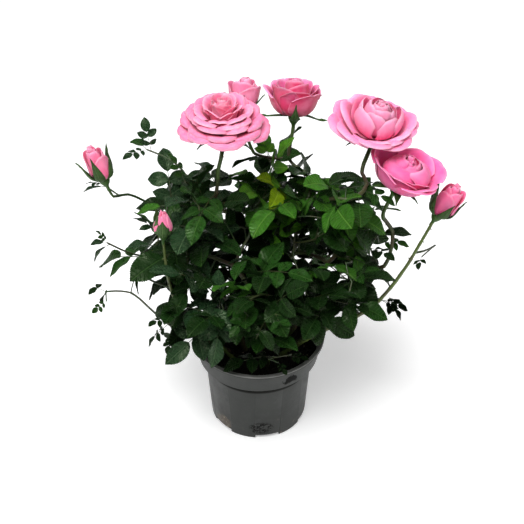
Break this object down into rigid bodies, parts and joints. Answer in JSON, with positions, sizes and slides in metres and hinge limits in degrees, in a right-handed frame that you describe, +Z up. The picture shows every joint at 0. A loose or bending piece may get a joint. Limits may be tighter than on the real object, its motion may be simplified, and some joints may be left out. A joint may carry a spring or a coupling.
{
  "type": "potted rose bush",
  "caption": "Bushy patio rose with pink double flowers and pinnate green leaves on thin canes, in a round tapered grey plastic nursery pot.",
  "frame": {"origin": "centre of the pot's flat underside, on the surface it stands on", "axes": "+Z up through the pot, -Y the front of the plant, +X its right-hand side seen from the front"},
  "size_m": [0.3242, 0.2319, 0.3367],
  "materials": {
    "pot_plastic": "satin moulded",
    "soil": "moist crumbly peat",
    "cane_bark": "smooth green-brown bark",
    "green_stem": "smooth green skin",
    "leaf": "semi-gloss veined leaf",
    "petal": "soft velvety petal"
  },
  "bodies": {
    "root": {"pot": "pot_plastic", "soil": "soil", "cane_centre": "cane_bark", "cane_left": "cane_bark", "cane_left_shoulder": "cane_bark", "cane_right": "cane_bark", "cane_right_shoulder": "cane_bark", "cane_low_left": "cane_bark", "cane_low_right": "cane_bark", "cane_front": "cane_bark", "cane_front_low": "cane_bark", "cane_back": "cane_bark", "cane_back_left": "cane_bark", "cane_back_right": "cane_bark", "cane_arch_right": "cane_bark", "cane_arch_left": "cane_bark", "flower_left": "petal", "stem_left": "green_stem", "flower_left_back": "petal", "stem_left_back": "green_stem", "flower_middle": "petal", "stem_middle": "green_stem", "flower_right": "petal", "stem_right": "green_stem", "flower_right_low": "petal", "stem_right_low": "green_stem", "bud_right": "petal", "bud_far_left": "petal", "stem_bud_far_left": "green_stem", "bud_left": "petal", "foliage_core": "leaf", "foliage_crest": "leaf", "foliage_left_shoulder": "leaf", "foliage_right_shoulder": "leaf", "foliage_upper_left": "leaf", "foliage_bud_left": "leaf", "foliage_left": "leaf", "foliage_left_outer": "leaf", "foliage_left_tip": "leaf", "foliage_low_left": "leaf", "foliage_right": "leaf", "foliage_right_outer": "leaf", "foliage_low_right": "leaf", "foliage_front": "leaf", "foliage_front_left": "leaf", "foliage_front_right": "leaf", "foliage_front_low": "leaf", "foliage_back": "leaf", "foliage_back_left": "leaf", "foliage_back_right": "leaf"}
  },
  "joints": []
}
